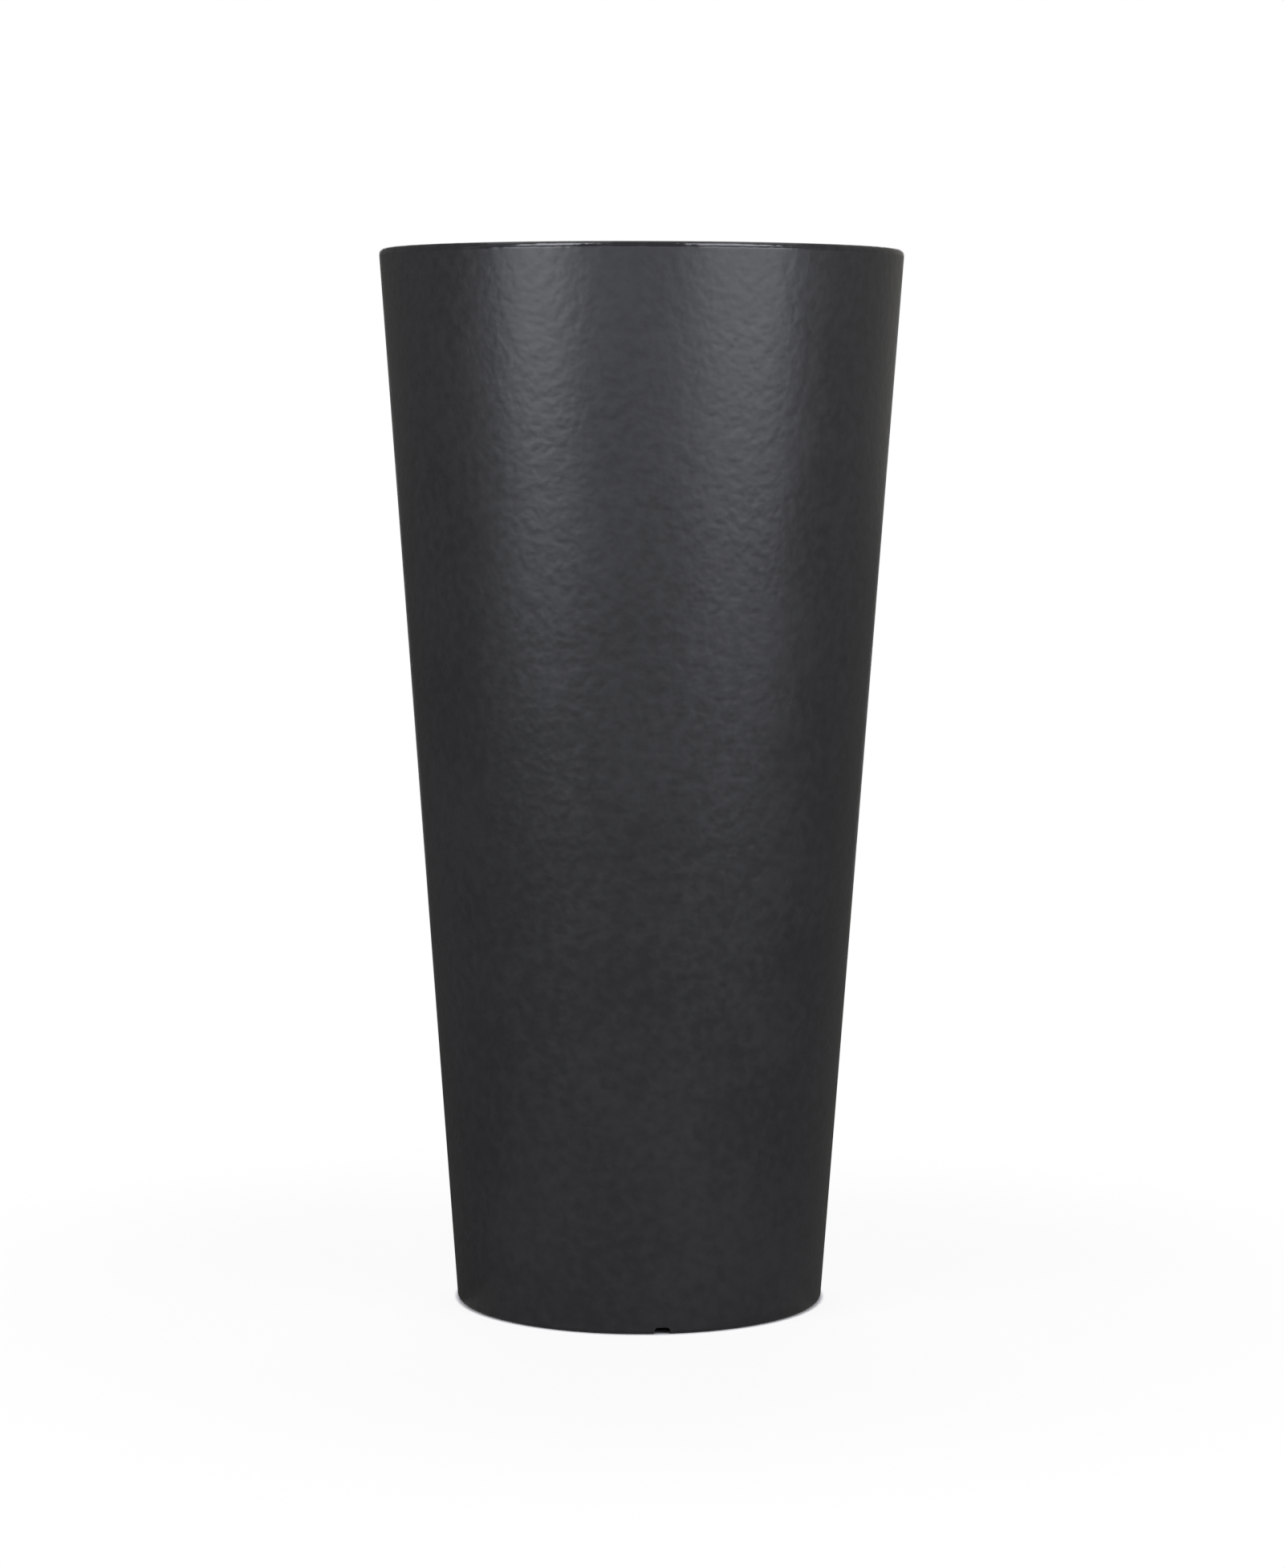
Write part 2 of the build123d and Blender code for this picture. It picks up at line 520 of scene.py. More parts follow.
    def piece(self, name: str, sharp_from: float) -> bpy.types.Object:
        """Make the finished object, in metres.

        Args:
            name: the piece's name.
            sharp_from: angle in degrees from which an edge stays sharp.

        Returns:
            The object, at the origin, with its place in its mesh.
        """
        bmesh.ops.dissolve_degenerate(self.bm, dist=self.MERGE, edges=self.bm.edges[:])
        bmesh.ops.scale(self.bm, vec=(MM, MM, MM), verts=self.bm.verts[:])
        thing = self._to_object()
        thing.name = thing.data.name = name
        thing.data.polygons.foreach_set("use_smooth", [True] * len(thing.data.polygons))
        thing.data.set_sharp_from_angle(angle=math.radians(sharp_from))
        self.bm.free()
        return thing


SOFTENED_FROM = 40


def softened(piece: bpy.types.Object, width: float, segments: int) -> bpy.types.Object:
    """Give a piece's sharp edges a small moulded rounding.

    Args:
        piece: the piece.
        width: width of the rounding in millimetres.
        segments: number of its steps.

    Returns:
        The piece.
    """
    rounding = piece.modifiers.new("moulded edges", "BEVEL")
    rounding.width = width * MM
    rounding.segments = segments
    rounding.limit_method = "ANGLE"
    rounding.angle_limit = math.radians(SOFTENED_FROM)
    rounding.harden_normals = True
    return piece


# Shader maths and nodes

class Signal:
    """A number that a node gives, on which Python arithmetic adds Math nodes."""

    def __init__(self, graph: "Graph", socket: bpy.types.NodeSocket) -> None:
        """Wrap one output socket of a graph."""
        self.graph = graph
        self.socket = socket

    def __add__(self, other: "Signal | float") -> "Signal":
        """Sum of two values."""
        return self.graph.maths("ADD", self, other)

    __radd__ = __add__

    def __sub__(self, other: "Signal | float") -> "Signal":
        """This value less another."""
        return self.graph.maths("SUBTRACT", self, other)

    def __mul__(self, other: "Signal | float") -> "Signal":
        """Product of two values."""
        return self.graph.maths("MULTIPLY", self, other)

    __rmul__ = __mul__

    def larger(self, other: "Signal | float") -> "Signal":
        """The larger of two values."""
        return self.graph.maths("MAXIMUM", self, other)


class Graph:
    """The node tree of a material or a world."""

    def __init__(self, tree: bpy.types.NodeTree) -> None:
        """Start with an empty tree."""
        self.tree = tree
        tree.nodes.clear()

    def node(
        self, kind: str, settings: dict | None = None, inputs: dict | None = None
    ) -> bpy.types.Node:
        """Add a node.

        Args:
            kind: the node's type.
            settings: its properties, set first.
            inputs: values or links of its sockets, by name or number.

        Returns:
            The node.
        """
        made = self.tree.nodes.new(kind)
        for key, value in (settings or {}).items():
            setattr(made, key, value)
        for key, value in (inputs or {}).items():
            target = made.inputs[key]
            source = value.socket if isinstance(value, Signal) else value
            if isinstance(source, bpy.types.NodeSocket):
                self.tree.links.new(source, target)
            else:
                target.default_value = source
        return made

    def maths(self, operation: str, first: Signal | float, second: Signal | float) -> Signal:
        """Add a Math node.

        Args:
            operation: its operation.
            first: its first value.
            second: its second value.

        Returns:
            Its result.
        """
        made = self.node("ShaderNodeMath", {"operation": operation}, {0: first, 1: second})
        return Signal(self, made.outputs[0])

    def place(self) -> bpy.types.NodeSocket:
        """The point's place on the object, in metres."""
        return self.node("ShaderNodeTexCoord").outputs["Object"]

    def height(self, place: bpy.types.NodeSocket) -> Signal:
        """The height of a place, in metres."""
        return Signal(self, self.node("ShaderNodeSeparateXYZ", None, {0: place}).outputs["Z"])

    def noise(
        self, place: bpy.types.NodeSocket, size: float, detail: float, roughness: float = 0.5
    ) -> Signal:
        """Add cloudy noise.

        Args:
            place: the coordinates that it reads.
            size: rough size of its blobs, in metres.
            detail: number of finer layers.
            roughness: strength of the finer layers.

        Returns:
            The noise, from 0 to 1.
        """
        inputs = {"Vector": place, "Scale": 1 / size, "Detail": detail, "Roughness": roughness}
        return Signal(self, self.node("ShaderNodeTexNoise", None, inputs).outputs["Fac"])

    def stretched(
        self, value: Signal, low: float, high: float, to_low: float, to_high: float
    ) -> Signal:
        """Map a range of a value to another range, smoothly.

        Args:
            value: the value.
            low: start of its range.
            high: end of its range.
            to_low: result at the start.
            to_high: result at the end.

        Returns:
            The mapped value.
        """
        inputs = {"Value": value, "From Min": low, "From Max": high}
        inputs |= {"To Min": to_low, "To Max": to_high}
        settings = {"interpolation_type": "SMOOTHSTEP"}
        return Signal(self, self.node("ShaderNodeMapRange", settings, inputs).outputs["Result"])

    def between(self, share: Signal, first: tuple, second: tuple) -> bpy.types.NodeSocket:
        """Mix two colours.

        Args:
            share: share of the second colour.
            first: first colour.
            second: second colour.

        Returns:
            The mixed colour.
        """
        mixer = self.node("ShaderNodeMix", {"data_type": "RGBA"})
        self.tree.links.new(share.socket, mixer.inputs["Factor"])
        ends = [s for s in mixer.inputs if s.type == "RGBA"]
        for socket, colour in zip(ends, (first, second)):
            socket.default_value = (*colour, 1.0)
        return next(s for s in mixer.outputs if s.type == "RGBA")

    def relief(self, height: Signal, depth: float, strength: float) -> bpy.types.NodeSocket:
        """Turn a height into a bumped normal.

        Args:
            height: the height, from 0 to 1.
            depth: what 1 stands for, in metres.
            strength: strength of the effect.

        Returns:
            The normal.
        """
        inputs = {"Height": height, "Distance": depth, "Strength": strength}
        return self.node("ShaderNodeBump", None, inputs).outputs["Normal"]


def new_material(name: str) -> tuple[bpy.types.Material, Graph]:
    """Make a material with an empty node tree.

    Args:
        name: its name.

    Returns:
        The material and the graph of its nodes.
    """
    made = bpy.data.materials.new(name)
    made.use_nodes = True
    return made, Graph(made.node_tree)


# Finishes

@dataclass(frozen=True)
class Plastic:
    """A moulded plastic with a fine texture in its surface."""

    CLOUD_BLOBS: ClassVar[float] = 12
    POLISH_RISE: ClassVar[float] = 0.002
    PEEL_SHARE: ClassVar[float] = 0.94
    GRAIN_SHARE: ClassVar[float] = 0.06

    name: str
    dark: tuple[float, float, float]
    light: tuple[float, float, float]
    roughness: float
    roughness_spread: float
    specular: float
    blob: float
    grain: float
    relief_depth: float
    relief_strength: float
    polish_from: float | None = None
    polish: float = 0.0

    def material(self) -> bpy.types.Material:
        """Make the material.

        Returns:
            The material.
        """
        made, graph = new_material(self.name)
        place = graph.place()
        peel = graph.noise(place, self.blob, detail=1.0)
        grain = graph.noise(place, self.grain, detail=2.0, roughness=0.6)
        cloud = graph.noise(place, self.CLOUD_BLOBS * self.blob, detail=3.0)
        tone = graph.stretched(0.4 * peel + 0.2 * grain + 0.4 * cloud, 0.36, 0.64, 0.0, 1.0)
        height = self.PEEL_SHARE * peel + self.GRAIN_SHARE * grain
        dull = self.roughness + self.roughness_spread * (
            graph.stretched(0.5 * peel + 0.5 * cloud, 0.35, 0.65, 0.0, 1.0) - 0.5
        )
        if self.polish_from is not None:
            level, top = graph.height(place), self.polish_from + self.POLISH_RISE
            dull = dull - graph.stretched(level, self.polish_from, top, 0.0, self.polish)
        shader = graph.node(
            "ShaderNodeBsdfPrincipled",
            None,
            {
                "Base Color": graph.between(tone, self.dark, self.light),
                "Roughness": dull,
                "Specular IOR Level": self.specular,
                "Normal": graph.relief(height, self.relief_depth, self.relief_strength),
            },
        )
        graph.node("ShaderNodeOutputMaterial", None, {"Surface": shader.outputs["BSDF"]})
        return made


class FinishName(Enum):
    """The record's material slots."""

    SHELL = "shell_plastic"
    INSERT = "insert_plastic"
    HANDLE = "handle_plastic"
    PIN = "pin_plastic"
    GRID = "grid_plastic"
    PLUG = "plug_rubber"


FINISHES = {
    FinishName.SHELL: Plastic(
        name="orange_peel_charcoal",
        dark=(0.0236, 0.0236, 0.0244), light=(0.0304, 0.0304, 0.0316),
        roughness=0.34, roughness_spread=0.06, specular=0.25,
        blob=0.0078, grain=0.0016, relief_depth=0.0014, relief_strength=0.29,
        polish_from=0.7565, polish=0.2,
    ),
    FinishName.INSERT: Plastic(
        name="plain_black_moulding",
        dark=(0.0192, 0.0192, 0.0200), light=(0.0288, 0.0288, 0.0296),
        roughness=0.42, roughness_spread=0.08, specular=0.35,
        blob=0.006, grain=0.0009, relief_depth=0.0002, relief_strength=0.25,
    ),
    FinishName.HANDLE: Plastic(
        name="smooth_black_moulding",
        dark=(0.0256, 0.0256, 0.0264), light=(0.0352, 0.0352, 0.0360),
        roughness=0.34, roughness_spread=0.06, specular=0.4,
        blob=0.005, grain=0.0007, relief_depth=0.00012, relief_strength=0.2,
    ),
    FinishName.PIN: Plastic(
        name="dark_nylon",
        dark=(0.0320, 0.0320, 0.0336), light=(0.0416, 0.0416, 0.0432),
        roughness=0.24, roughness_spread=0.04, specular=0.5,
        blob=0.003, grain=0.0005, relief_depth=0.00005, relief_strength=0.15,
    ),
    FinishName.GRID: Plastic(
        name="dark_grey_moulding",
        dark=(0.0352, 0.0352, 0.0368), light=(0.0512, 0.0512, 0.0536),
        roughness=0.46, roughness_spread=0.08, specular=0.35,
        blob=0.004, grain=0.0008, relief_depth=0.00018, relief_strength=0.25,
    ),
    FinishName.PLUG: Plastic(
        name="black_rubber",
        dark=(0.0144, 0.0144, 0.0144), light=(0.0224, 0.0224, 0.0224),
        roughness=0.62, roughness_spread=0.1, specular=0.3,
        blob=0.002, grain=0.0004, relief_depth=0.0001, relief_strength=0.3,
    ),
}


def dress(piece: bpy.types.Object, finish: FinishName, body: str, node: str) -> None:
    """Give a piece its finish, its body and the node that it stands for.

    Args:
        piece: the piece.
        finish: its finish.
        body: the body that it moves with.
        node: the node of the solid model that it replaces.
    """
    known = bpy.data.materials.get(FINISHES[finish].name)
    piece.data.materials.append(known or FINISHES[finish].material())
    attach(piece, body)
    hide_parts(node)
    log.info("%s: %d faces, rides on %s", piece.name, len(piece.data.polygons), body)


# Pieces

@dataclass
class OuterShell:
    """The tapered shell, one moulded wall from the drain hole round foot and rim to the ledge."""

    sizes: ShellSizes = ShellSizes()
    steps: int = 256
    collar_steps: int = 64

    def section(self) -> list[Corner]:
        """Corners of the wall's closed section.

        Returns:
            The corners, round the section.
        """
        s = self.sizes
        foot_inner = s.base_radius - s.foot_land_width
        skin = [
            Corner(s.drain_radius, s.floor_low),
            Corner(foot_inner - s.foot_draft, s.floor_edge_height, s.floor_corner_rounding),
            Corner(foot_inner, 0, s.foot_rounding),
            Corner(s.base_radius, 0, s.foot_rounding),
            Corner(s.rim_radius, s.height, s.rim_rounding),
            Corner(s.mouth_radius, s.height, s.rim_rounding),
            Corner(s.mouth_radius - s.lip_draft, s.ledge_height, s.lip_corner_rounding),
            Corner(s.mouth_radius - s.lip_draft - s.ledge_width, s.ledge_height),
        ]
        return skin + beside(skin, s.wall)[::-1]

    def notch_cover(self) -> Solid:
        """Moulded cover over one drain notch, at angle 0.

        Returns:
            The cover.
        """
        s = self.sizes
        outline = arch(s.notch_width / 2 + s.wall, s.wall / 2, s.notch_height + s.wall, s.wall)
        middle = s.base_radius - s.foot_land_width / 2
        return Solid.prism(outline, s.foot_land_width - s.wall, facing("X", middle))

    def notch_tunnel(self) -> Solid:
        """Arched cut through the foot ring for one drain notch, at angle 0.

        Returns:
            The cutter.
        """
        s = self.sizes
        outline = arch(s.notch_width / 2, -s.notch_height, s.notch_height, s.notch_rounding)
        middle = s.base_radius - s.foot_land_width / 2
        return Solid.prism(outline, 3 * s.foot_land_width, facing("X", middle))

    def build(self) -> None:
        """Build and dress the shell."""
        s = self.sizes
        shell = Solid.turned(self.section(), self.steps)
        low, high = s.floor_low - s.collar_depth, s.floor_low + s.wall / 2
        outer = s.drain_radius + s.collar_wall
        shell.join(Solid.tube(outer, s.drain_radius, low, high, self.collar_steps))
        shell.join(self.notch_cover().ring(s.notch_count, s.notch_first_angle))
        shell.cut(self.notch_tunnel().ring(s.notch_count, s.notch_first_angle))
        piece = shell.piece("outer_shell_moulding", sharp_from=SHARP_FROM)
        dress(piece, FinishName.SHELL, "shell", "outer_shell")


def facing(axis: str, middle: float) -> Matrix:
    """Upright plane square to the X or Y axis, with its first direction level and its second up.

    Args:
        axis: the axis, X or Y.
        middle: where the plane crosses it.

    Returns:
        The matrix that takes (across, up, 0) there.
    """
    if axis == "X":
        return Matrix(((0, 0, 1, middle), (1, 0, 0, 0), (0, 1, 0, 0), (0, 0, 0, 1)))
    return Matrix(((1, 0, 0, 0), (0, 0, -1, middle), (0, 1, 0, 0), (0, 0, 0, 1)))


def radial_slots(
    count: int, start: float, end: float, width: float, level: float, depth: float
) -> Solid:
    """A ring of cutters for slots that run outwards from the axis.

    Args:
        count: number of slots.
        start: radius at their inner ends.
        end: radius at their outer ends.
        width: width of a slot.
        level: middle level of the cut.
        depth: height of the cut.

    Returns:
        The cutters.
    """
    slot = Solid.block((end - start, width, depth), ((start + end) / 2, 0, level))
    return slot.ring(count, 180 / count)


@dataclass
class PlantingInsert:
    """The thin moulded pot that hangs on the shell's ledge, with its ears, ribs and drain slots."""

    shell: ShellSizes = ShellSizes()
    sizes: InsertSizes = InsertSizes()
    steps: int = 192

    @property
    def flange_low(self) -> float:
        """Level of the flange's underside."""
        return self.shell.ledge_height + self.sizes.seat_gap

    @property
    def flange_top(self) -> float:
        """Level of the flange's top."""
        return self.flange_low + self.sizes.wall

    @property
    def base(self) -> float:
        """Level of the floor's underside."""
        return self.flange_low - self.sizes.depth

    @property
    def floor_top(self) -> float:
        """Level of the floor's top."""
        return self.base + self.sizes.wall

    @property
    def pivot_height(self) -> float:
        """Level of the handles' pivots."""
        return self.flange_top + self.sizes.pivot_rise

    def section(self) -> list[Corner]:
        """Corners of the wall's closed section.

        Returns:
            The corners, round the section.
        """
        s = self.sizes
        shoulder_low = self.flange_low - s.shoulder_drop - s.shoulder_height
        skin = [
            Corner(s.centre_hole_radius, self.base),
            Corner(s.base_radius, self.base, s.floor_rounding),
            Corner(s.shoulder_radius, shoulder_low, s.shoulder_rounding),
            Corner(s.neck_radius, shoulder_low + s.shoulder_height, s.shoulder_rounding),
            Corner(s.neck_radius, self.flange_low, s.neck_rounding),
            Corner(s.flange_radius, self.flange_low),
        ]
        return skin + beside(skin, s.wall)[::-1]

    def ear(self, side: int, end: int) -> Solid:
        """One upright ear on the flange.

        Args:
            side: -1 for the left handle, 1 for the right one.
            end: -1 for the front, 1 for the back.

        Returns:
            The ear.
        """
        s = self.sizes
        foot = self.flange_top - s.wall / 2
        top = self.pivot_height + s.ear_radius
        outline = arch(s.ear_radius, foot, top, NEAR_FULL * s.ear_radius)
        middle = end * (s.ear_inner_y + s.ear_thickness / 2)
        ear = Solid.prism(outline, s.ear_thickness, facing("Y", middle))
        return ear.placed(Matrix.Translation((side * s.pivot_x, 0, 0)))

    def build(self) -> None:
        """Build and dress the insert."""
        s = self.sizes
        pot = Solid.turned(self.section(), self.steps)
        length = s.rib_outer - s.rib_inner
        rib_size = (length, s.rib_width, s.rib_height + s.wall / 2)
        rib_middle = (s.rib_inner + length / 2, 0, self.base - s.rib_height / 2 + s.wall / 4)
        pot.join(Solid.block(rib_size, rib_middle).ring(s.rib_count, 0))
        ring = (s.slot_count, s.slot_start, s.slot_end)
        pot.cut(radial_slots(*ring, s.slot_width, self.base, 4 * s.wall))
        for side in (-1, 1):
            for end in (-1, 1):
                pot.join(self.ear(side, end))
            pot.cut(pivot_bore(side, self))
        piece = softened(pot.piece("planting_insert_moulding", sharp_from=SHARP_FROM), 0.4, 2)
        dress(piece, FinishName.INSERT, "insert", "planting_insert")


def pivot_bore(side: int, insert: PlantingInsert) -> Solid:
    """Rod along a handle's pivot line, which bores its ears and eyes.

    Args:
        side: -1 for the left handle, 1 for the right one.
        insert: the insert that carries the handle.

    Returns:
        The rod.
    """
    s = insert.sizes
    reach = s.ear_inner_y + 2 * s.ear_thickness
    bore = Solid.rod(s.pin_hole_radius, -reach, reach, BORE_STEPS)
    bore.placed(QUARTER_TURN)
    return bore.placed(Matrix.Translation((side * s.pivot_x, 0, insert.pivot_height)))


@dataclass
class SwingHandle:
    """One curved handle that lies round the flange, with its two pins."""

    side: int
    insert: PlantingInsert
    sizes: HandleSizes = HandleSizes()
    bow_steps: int = 64
    pin_steps: int = 48
    pin_sharp_from: float = 40

    @property
    def name(self) -> str:
        """The handle's node."""
        return "right_handle" if self.side > 0 else "left_handle"

    def eye(self, end: int) -> Solid:
        """One end of the right handle, square at its top so that it stops against the flange.

        Args:
            end: -1 for the front, 1 for the back.

        Returns:
            The eye.
        """
        s = self.sizes
        low = self.insert.sizes.seat_gap - self.insert.sizes.pivot_rise
        outline = [
            Corner(-s.eye_radius, -s.eye_radius, NEAR_FULL * s.eye_radius),
            Corner(s.eye_reach, low),
            Corner(s.eye_reach, low + s.thickness, 0.5),
            Corner(s.eye_radius / 2, s.eye_radius, 1.0),
            Corner(-s.eye_radius, s.eye_radius, 0.5),
        ]
        middle = end * (s.eye_inner_y + s.eye_thickness / 2)
        eye = Solid.prism(outline, s.eye_thickness, facing("Y", middle))
        pivot = (self.insert.sizes.pivot_x, 0, self.insert.pivot_height)
        return eye.placed(Matrix.Translation(pivot))

    def bow(self) -> Solid:
        """The curved grip of the right handle.

        Returns:
            The grip.
        """
        s = self.sizes
        half = math.asin((s.eye_inner_y + s.eye_thickness / 2) / s.arc_radius)
        low = self.insert.flange_top + self.insert.sizes.seat_gap
        inner, outer = s.arc_radius - s.width / 2, s.arc_radius + s.width / 2
        section = [
            Corner(inner, low, s.edge_rounding),
            Corner(outer, low, s.edge_rounding),
            Corner(outer, low + s.thickness, s.edge_rounding),
            Corner(inner, low + s.thickness, s.edge_rounding),
        ]
        bow = Solid.turned(section, self.bow_steps, 2 * half)
        return bow.placed(Matrix.Rotation(-half, 4, "Z"))

    def build(self) -> None:
        """Build and dress the handle and its pins."""
        handle = self.bow()
        for end in (-1, 1):
            handle.join(self.eye(end))
        handle.cut(pivot_bore(1, self.insert))
        if self.side < 0:
            handle.placed(Matrix.Rotation(math.pi, 4, "Z"))
        piece = softened(handle.piece(f"{self.name}_moulding", sharp_from=SHARP_FROM), 0.5, 3)
        dress(piece, FinishName.HANDLE, self.name, self.name)
        self.pin("front", -1)
        self.pin("back", 1)

    def pin(self, end_name: str, end: int) -> None:
        """Build and dress one headed pin, pressed through an ear from outside.

        Args:
            end_name: front or back.
            end: -1 for the front, 1 for the back.
        """
        s = self.sizes
        i = self.insert.sizes
        outside = i.ear_inner_y + i.ear_thickness
        tip = outside - s.eye_inner_y - s.pin_end_recess
        head_top = -s.pin_head_thickness
        section = [
            Corner(AXIS_GAP, head_top),
            Corner(s.pin_head_radius, head_top, s.pin_head_chamfer),
            Corner(s.pin_head_radius, 0, 0.15),
            Corner(s.pin_radius, 0),
            Corner(s.pin_radius, tip, 0.4),
            Corner(AXIS_GAP, tip),
        ]
        pin = Solid.turned(section, self.pin_steps).capped()
        pin.placed(Matrix.Rotation(end * math.pi / 2, 4, "X"))
        seat = (self.side * i.pivot_x, end * outside, self.insert.pivot_height)
        pin.placed(Matrix.Translation(seat))
        node = f"{self.name}_pin_{end_name}"
        piece = pin.piece(f"{node}_turning", sharp_from=self.pin_sharp_from)
        dress(piece, FinishName.PIN, "insert", node)


@dataclass
class DrainageGrid:
    """The slotted plate on six hollow legs that keeps the soil off the drain slots."""

    insert: PlantingInsert
    sizes: GridSizes = GridSizes()
    steps: int = 192
    leg_steps: int = 40

    def build(self) -> None:
        """Build and dress the grid."""
        s = self.sizes
        low = self.insert.floor_top + self.insert.sizes.seat_gap
        plate_low = low + s.stand
        top = plate_low + s.thickness
        rim_low = plate_low - s.rim_depth
        collar = s.finger_hole_radius + s.rim_wall
        section = [
            Corner(s.finger_hole_radius, rim_low),
            Corner(collar, rim_low),
            Corner(collar, plate_low),
            Corner(s.radius - s.rim_wall, plate_low),
            Corner(s.radius - s.rim_wall, rim_low),
            Corner(s.radius, rim_low),
            Corner(s.radius, top, 0.8),
            Corner(s.finger_hole_radius, top, 0.8),
        ]
        grid = Solid.turned(section, self.steps)
        for ring in (
            (s.inner_slot_count, s.inner_slot_start, s.inner_slot_end),
            (s.outer_slot_count, s.outer_slot_start, s.outer_slot_end),
        ):
            grid.cut(radial_slots(*ring, s.slot_width, plate_low, 4 * s.thickness))
        high = plate_low + s.thickness / 2
        leg = Solid.tube(s.leg_radius, s.leg_radius - s.rim_wall, low, high, self.leg_steps)
        leg.placed(Matrix.Translation((s.leg_circle, 0, 0)))
        grid.join(leg.ring(s.leg_count, 0))
        piece = softened(grid.piece("drainage_grid_moulding", sharp_from=SHARP_FROM), 0.35, 2)
        dress(piece, FinishName.GRID, "grid", "drainage_grid")


@dataclass
class DrainPlug:
    """The tapered rubber plug in the shell's floor, with a tab to pull it by."""

    shell: ShellSizes = ShellSizes()
    sizes: PlugSizes = PlugSizes()
    seat_gap: float = 0.3
    steps: int = 64
    eye_steps: int = 40

    def build(self) -> None:
        """Build and dress the plug."""
        s = self.sizes
        seat = self.shell.floor_low + self.shell.wall + self.seat_gap
        top_radius = self.shell.drain_radius - s.clearance
        rise = self.shell.floor_fall * s.flange_radius / self.shell.base_radius
        section = [
            Corner(AXIS_GAP, seat - s.length),
            Corner(top_radius - s.taper, seat - s.length, 0.8),
            Corner(top_radius, seat),
            Corner(s.flange_radius, seat + rise, 0.6),
            Corner(s.flange_radius, seat + s.flange_thickness, 1.0),
            Corner(AXIS_GAP, seat + s.flange_thickness),
        ]
        plug = Solid.turned(section, self.steps).capped()
        low = seat + s.flange_thickness / 2
        tab = arch(s.tab_width / 2, low, low + s.tab_height, s.tab_width / 3)
        plug.join(Solid.prism(tab, s.tab_thickness, facing("Y", 0)))
        eye = Solid.rod(s.tab_hole_radius, -s.tab_thickness, s.tab_thickness, self.eye_steps)
        eye.placed(QUARTER_TURN)
        eye.placed(Matrix.Translation((0, 0, low + s.tab_height * 2 / 3)))
        plug.cut(eye)
        piece = softened(plug.piece("drain_plug_moulding", sharp_from=SHARP_FROM), 0.5, 3)
        dress(piece, FinishName.PLUG, "plug", "drain_plug")


# Studio

def around(angle: float, radius: float, height: float) -> tuple[float, float, float]:
    """Place beside the planter's axis.

    Args:
        angle: direction in radians, 0 to the front and growing to the right.
        radius: distance from the axis.
        height: level above the floor.

    Returns:
        The place.
    """
    return radius * math.sin(angle), -radius * math.cos(angle), height


@dataclass(frozen=True)
class Softbox:
    """One soft studio lamp, hidden from reflections, where the cards stand in for it."""

    name: str
    azimuth: float
    distance: float
    height: float
    width: float
    tall: float
    power: float
    aim_height: float
    colour: tuple[float, float, float] = COOL

    def build(self) -> None:
        """Put the lamp in the scene."""
        lamp = bpy.data.lights.new(self.name, "AREA")
        lamp.shape = "RECTANGLE"
        lamp.size, lamp.size_y = self.width, self.tall
        lamp.energy = self.power
        lamp.color = self.colour
        thing = linked(self.name, lamp)
        thing.visible_glossy = False
        thing.location = around(math.radians(self.azimuth), self.distance, self.height)
        aim = Vector((0, 0, self.aim_height)) - thing.location
        thing.rotation_euler = aim.to_track_quat("-Z", "Y").to_euler()
        log.info("lamp %s at %.0f degrees, %.0f W", self.name, self.azimuth, self.power)


@dataclass(frozen=True)
class Flat:
    """One grey flat, or one card brighter than white, that shows in reflections only."""

    STEPS: ClassVar[int] = 24

    name: str
    azimuth: float
    sweep: float
    path: tuple[tuple[float, float], ...]
    level: float
    tint: tuple[float, float, float] = (1.02, 1.0, 0.9)

    def build(self) -> None:
        """Put the flat in the scene: its path of (radius, height), turned round the axis."""
        bm = bmesh.new()
        start = math.radians(self.azimuth - self.sweep / 2)
        points = [bm.verts.new(around(start, radius, height)) for radius, height in self.path]
        edges = [bm.edges.new(pair) for pair in zip(points, points[1:])]
        bmesh.ops.spin(
            bm,
            geom=points + edges,
            cent=(0, 0, 0),
            axis=(0, 0, 1),
            angle=math.radians(self.sweep),
            steps=self.STEPS,
            use_merge=False,
        )
        mesh = bpy.data.meshes.new(self.name)
        bm.to_mesh(mesh)
        bm.free()
        flat = linked(self.name, mesh)
        made, graph = new_material(self.name)
        colour = tuple(share * self.level for share in self.tint) + (1.0,)
        paint = graph.node("ShaderNodeEmission", None, {"Color": colour, "Strength": 1.0})
        graph.node("ShaderNodeOutputMaterial", None, {"Surface": paint.outputs["Emission"]})
        mesh.materials.append(made)
        for rays in ("camera", "diffuse", "transmission", "shadow"):
            setattr(flat, f"visible_{rays}", False)


LOW_SIDE = ((0.13, 0.0005), (1.4, 0.002), (1.4, 0.5))
HIGH_SIDE = ((1.4, 0.5), (1.4, 2.5))
FLOOR_FLAT = ((0.13, 0.0005), (2.4, 0.002))
NEAR_FLOOR = ((0.13, 0.0005), (0.55, 0.001))
FAR_FLOOR = ((0.55, 0.001), (2.4, 0.002))


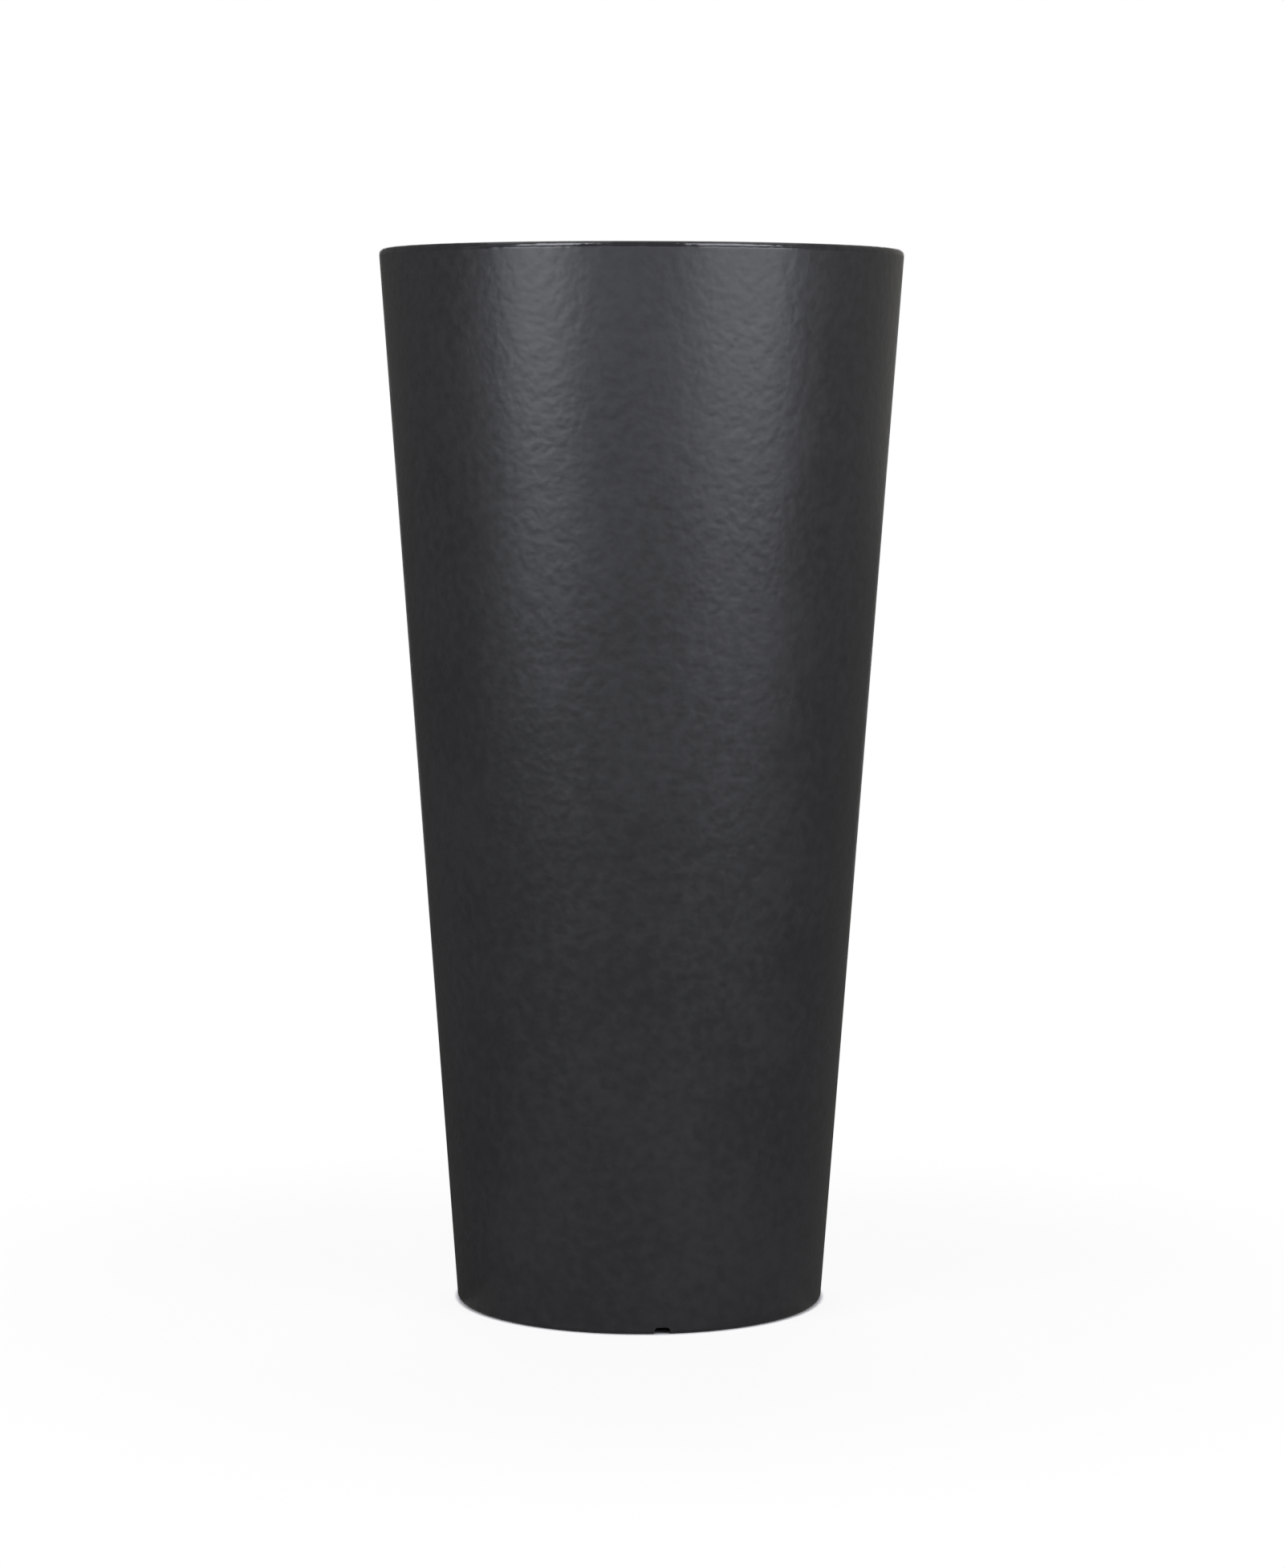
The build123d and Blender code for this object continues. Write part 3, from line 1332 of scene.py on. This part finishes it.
@dataclass(frozen=True)
class Studio:
    """Floor, surroundings, lamps and camera."""

    FLOOR_SIDES: ClassVar[int] = 96
    SHADOW_START: ClassVar[float] = 0.3
    UNDER_FOOT: ClassVar[float] = 0.0005
    PAST_FOOT: ClassVar[float] = 0.0035

    lamps: tuple[Softbox, ...] = (
        Softbox("left_softbox", -44, 1.7, 1.4, 0.85, 1.5, 22.5, 0.8),
        Softbox("right_softbox", 44, 1.8, 1.4, 1.3, 1.5, 25, 0.8),
        Softbox("back_softbox", 180, 1.8, 1.4, 1.6, 1.5, 30, 0.7),
    )
    flats: tuple[Flat, ...] = (
        Flat("left_flat_low", -118, 84, LOW_SIDE, 0.07),
        Flat("left_flat_high", -118, 84, HIGH_SIDE, 0.12),
        Flat("right_flat_low", 118, 84, LOW_SIDE, 0.12),
        Flat("right_flat_high", 118, 84, HIGH_SIDE, 0.27),
        Flat("left_card", -44, 29, ((1.7, 0.45), (1.7, 0.95)), 8.4, COOL),
        Flat("right_card", 44, 41, ((1.8, 0.45), (1.8, 0.95)), 7.8, COOL),
        Flat("left_top_card", -44, 29, ((1.7, 1.5), (0.9, 2.6)), 13.0, COOL),
        Flat("right_top_card", 44, 41, ((1.8, 1.5), (1.0, 2.6)), 11.0, COOL),
        Flat("front_card", 0, 70, ((1.9, 0.45), (1.9, 0.9)), 2.2, COOL),
        Flat("front_flat_near", 0, 152, NEAR_FLOOR, 0.19),
        Flat("front_flat_far", 0, 152, FAR_FLOOR, 0.05),
        Flat("back_flat", 180, 40, FLOOR_FLAT, 0.3),
        Flat("front_screen", 0, 152, ((4.2, 0.0), (4.2, 3.0), (0.05, 3.0)), 0.05),
    )
    ambient: float = 0.175
    floor_radius: float = 9.0
    floor_colour: float = 0.8
    shadow_share: float = 0.1
    shadow_reach: float = 0.7
    foot_radius: float = 0.133
    camera_distance: float = 3.0282
    camera_height: float = 0.6632
    camera_side: float = 0.00115
    camera_pitch: float = 5.405
    camera_roll: float = 0.0024
    lens: float = 96.096
    sensor: float = 36.0

    def seen(self, graph: Graph) -> Signal:
        """Tell the rays that show the surroundings from those that light the set.

        Args:
            graph: the graph that asks.

        Returns:
            1 for camera, glossy and transmission rays, 0 for others.
        """
        path = graph.node("ShaderNodeLightPath")
        rays = ("Is Camera Ray", "Is Glossy Ray", "Is Transmission Ray")
        first, *others = (Signal(graph, path.outputs[ray]) for ray in rays)
        for other in others:
            first = first.larger(other)
        return first

    def build_surroundings(self) -> None:
        """Make the world: plain white where it is seen, and a soft even light elsewhere."""
        world = bpy.data.worlds.new("studio")
        bpy.context.scene.world = world
        world.use_nodes = True
        graph = Graph(world.node_tree)
        strength = self.ambient + (1 - self.ambient) * self.seen(graph)
        inputs = {"Color": (1, 1, 1, 1), "Strength": strength}
        back = graph.node("ShaderNodeBackground", None, inputs)
        graph.node("ShaderNodeOutputWorld", None, {"Surface": back.outputs["Background"]})

    def build_floor(self) -> None:
        """Make the pale floor, which keeps the planter's shadow close to it and fades to white."""
        bm = bmesh.new()
        sides, radius = self.FLOOR_SIDES, self.floor_radius
        bmesh.ops.create_circle(bm, cap_ends=True, segments=sides, radius=radius)
        mesh = bpy.data.meshes.new("studio_floor")
        bm.to_mesh(mesh)
        bm.free()
        floor = linked("studio_floor", mesh)
        made, graph = new_material("pale_floor")
        length = graph.node("ShaderNodeVectorMath", {"operation": "LENGTH"}, {0: graph.place()})
        far = Signal(graph, length.outputs["Value"])
        under, outside = self.foot_radius - self.UNDER_FOOT, self.foot_radius + self.PAST_FOOT
        share = 1 - self.shadow_share
        fade = graph.stretched(far, self.SHADOW_START, self.shadow_reach, share, 1.0)
        fade = fade * graph.stretched(far, under, outside, 0.0, 1.0)
        colour = (self.floor_colour,) * 3 + (1.0,)
        paint = graph.node("ShaderNodeBsdfDiffuse", None, {"Color": colour})
        white = graph.node("ShaderNodeEmission", None, {"Color": (1, 1, 1, 1), "Strength": 1.0})
        mixed = graph.node(
            "ShaderNodeMixShader",
            None,
            {0: self.seen(graph) * fade, 1: paint.outputs["BSDF"], 2: white.outputs["Emission"]},
        )
        graph.node("ShaderNodeOutputMaterial", None, {"Surface": mixed.outputs["Shader"]})
        mesh.materials.append(made)

    def build_camera(self) -> None:
        """Put the camera at the photograph's viewing angle."""
        data = bpy.data.cameras.new("camera")
        data.sensor_width = self.sensor
        data.lens = self.lens
        camera = linked("camera", data)
        camera.location = (self.camera_side, -self.camera_distance, self.camera_height)
        level = Euler((math.pi / 2 - math.radians(self.camera_pitch), 0, 0)).to_matrix()
        roll = Matrix.Rotation(self.camera_roll, 3, "Z")
        camera.rotation_euler = (level @ roll).to_euler()
        bpy.context.scene.camera = camera

    def build(self) -> None:
        """Build the whole studio."""
        self.build_surroundings()
        self.build_floor()
        for lamp in self.lamps:
            lamp.build()
        for flat in self.flats:
            flat.build()
        self.build_camera()
        bpy.context.scene.view_settings.view_transform = "Standard"


def main() -> None:
    """Build every piece and the studio."""
    logging.basicConfig(level=logging.INFO, format="%(name)s: %(message)s")
    insert = PlantingInsert()
    OuterShell().build()
    insert.build()
    for side in (-1, 1):
        SwingHandle(side, insert).build()
    DrainageGrid(insert).build()
    DrainPlug().build()
    Studio().build()


if __name__ == "__main__":
    main()
